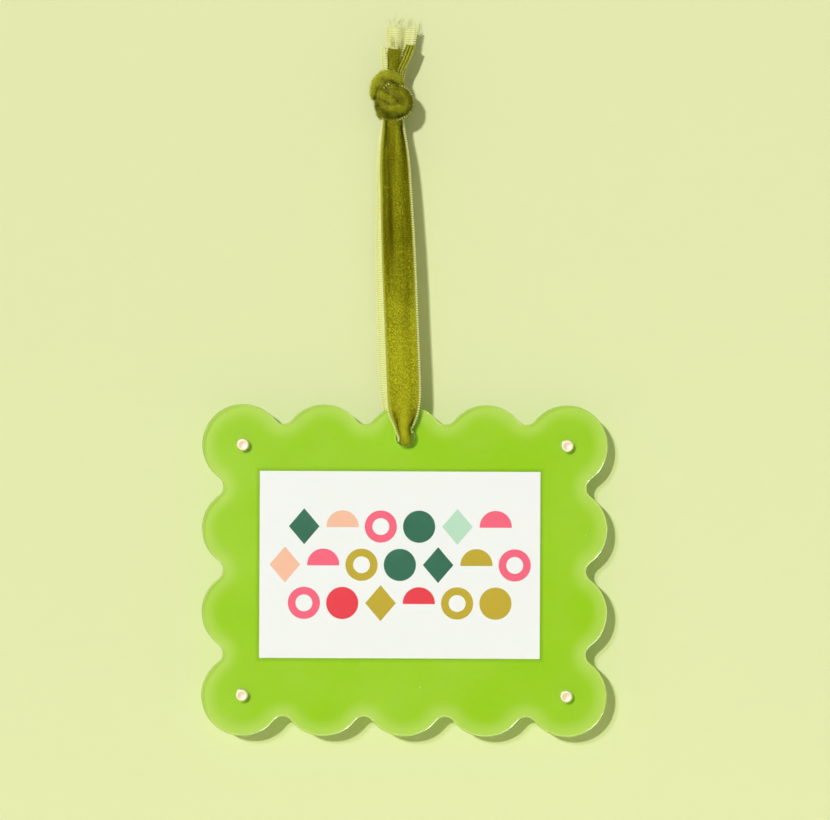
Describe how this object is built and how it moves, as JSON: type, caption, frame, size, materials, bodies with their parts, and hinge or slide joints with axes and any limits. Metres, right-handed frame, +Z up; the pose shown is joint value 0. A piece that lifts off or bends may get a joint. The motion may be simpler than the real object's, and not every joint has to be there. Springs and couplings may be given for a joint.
{
  "type": "picture frame ornament",
  "caption": "Hanging ornament that holds a wallet-size picture between two scalloped acrylic panels closed by disc magnets, on a knotted velvet ribbon loop.",
  "frame": {"origin": "inside top of the ribbon loop, just under the knot, where a hook or twig carries the ornament", "axes": "+X to the right across the panels as the front is seen, +Y out of the back, +Z up along the ribbon"},
  "size_m": [0.1099, 0.0114, 0.1925],
  "materials": {
    "green_acrylic": "translucent lime green cast acrylic, polished edges",
    "clear_acrylic": "clear cast acrylic, polished edges",
    "card": null,
    "magnet_plating": "pale rose gold plating on disc magnets",
    "velvet": "moss green velvet with pale picot edges"
  },
  "bodies": {
    "root": {"back_panel": "green_acrylic", "front_panel": "clear_acrylic", "photo_card": "card", "front_magnet_top_left": "magnet_plating", "rear_magnet_top_left": "magnet_plating", "front_magnet_top_right": "magnet_plating", "rear_magnet_top_right": "magnet_plating", "front_magnet_bottom_left": "magnet_plating", "rear_magnet_bottom_left": "magnet_plating", "front_magnet_bottom_right": "magnet_plating", "rear_magnet_bottom_right": "magnet_plating", "ribbon": "velvet"}
  },
  "joints": []
}
